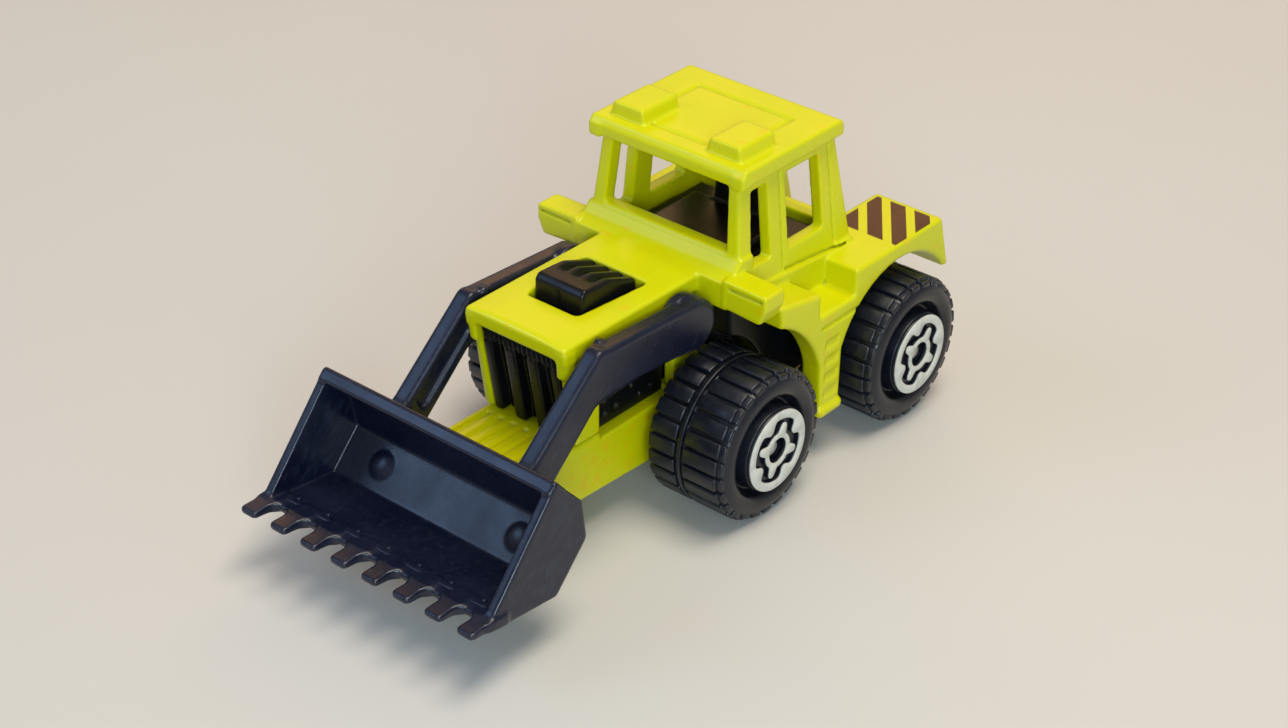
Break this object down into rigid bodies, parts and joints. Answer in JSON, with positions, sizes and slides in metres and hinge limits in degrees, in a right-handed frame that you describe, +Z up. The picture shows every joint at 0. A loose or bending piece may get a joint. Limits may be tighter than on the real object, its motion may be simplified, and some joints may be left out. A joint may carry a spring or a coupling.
{
  "type": "toy wheel loader",
  "caption": "Pocket-size die-cast toy wheeled loader with an open-window cab, lifting front bucket on side arms and free-rolling chunky wheels.",
  "frame": {"origin": "on the ground under the middle of the toy's bounding box", "axes": "+X forward to the bucket, +Y to the toy's left, +Z up"},
  "size_m": [0.0728, 0.0352, 0.0353],
  "materials": {
    "paint": "gloss",
    "interior_plastic": "satin",
    "loader_plastic": "semi-gloss",
    "wheel_plastic": "satin",
    "hub_print": "matte print",
    "steel": "dull"
  },
  "bodies": {
    "chassis": {"bonnet": "paint", "cowl": "paint", "cab_frame": "paint", "roof": "paint", "fender_left": "paint", "fender_right": "paint", "rear_deck": "paint", "base_casting": "paint", "cab_floor": "interior_plastic", "seat": "interior_plastic", "engine_block": "interior_plastic", "grille": "interior_plastic", "air_intake": "interior_plastic", "rivet_front": "steel", "rivet_rear": "steel"},
    "loader": {"arm_left": "loader_plastic", "arm_right": "loader_plastic", "bucket": "loader_plastic"},
    "front_axle": {"front_axle": "steel"},
    "front_left_wheel": {"wheel_front_left": "wheel_plastic", "hub_face_front_left": "hub_print"},
    "front_right_wheel": {"wheel_front_right": "wheel_plastic", "hub_face_front_right": "hub_print"},
    "rear_axle": {"rear_axle": "steel"},
    "rear_left_wheel": {"wheel_rear_left": "wheel_plastic", "hub_face_rear_left": "hub_print"},
    "rear_right_wheel": {"wheel_rear_right": "wheel_plastic", "hub_face_rear_right": "hub_print"}
  },
  "joints": [
    {"name": "loader_lift", "type": "hinge", "parent": "chassis", "child": "loader", "pos_m": [-0.0015, 0, 0.0194], "axis": [0, 1, 0], "range_deg": [-50, 10]},
    {"name": "front_axle_spin", "type": "hinge", "parent": "chassis", "child": "front_axle", "pos_m": [-0.00365, 0, 0.0079], "axis": [0, 1, 0], "continuous": true},
    {"name": "front_left_roll", "type": "hinge", "parent": "front_axle", "child": "front_left_wheel", "pos_m": [-0.00365, 0, 0.0079], "axis": [0, 1, 0], "continuous": true},
    {"name": "front_right_roll", "type": "hinge", "parent": "front_axle", "child": "front_right_wheel", "pos_m": [-0.00365, 0, 0.0079], "axis": [0, 1, 0], "continuous": true},
    {"name": "rear_axle_spin", "type": "hinge", "parent": "chassis", "child": "rear_axle", "pos_m": [-0.02735, 0, 0.0079], "axis": [0, 1, 0], "continuous": true},
    {"name": "rear_left_roll", "type": "hinge", "parent": "rear_axle", "child": "rear_left_wheel", "pos_m": [-0.02735, 0, 0.0079], "axis": [0, 1, 0], "continuous": true},
    {"name": "rear_right_roll", "type": "hinge", "parent": "rear_axle", "child": "rear_right_wheel", "pos_m": [-0.02735, 0, 0.0079], "axis": [0, 1, 0], "continuous": true}
  ]
}
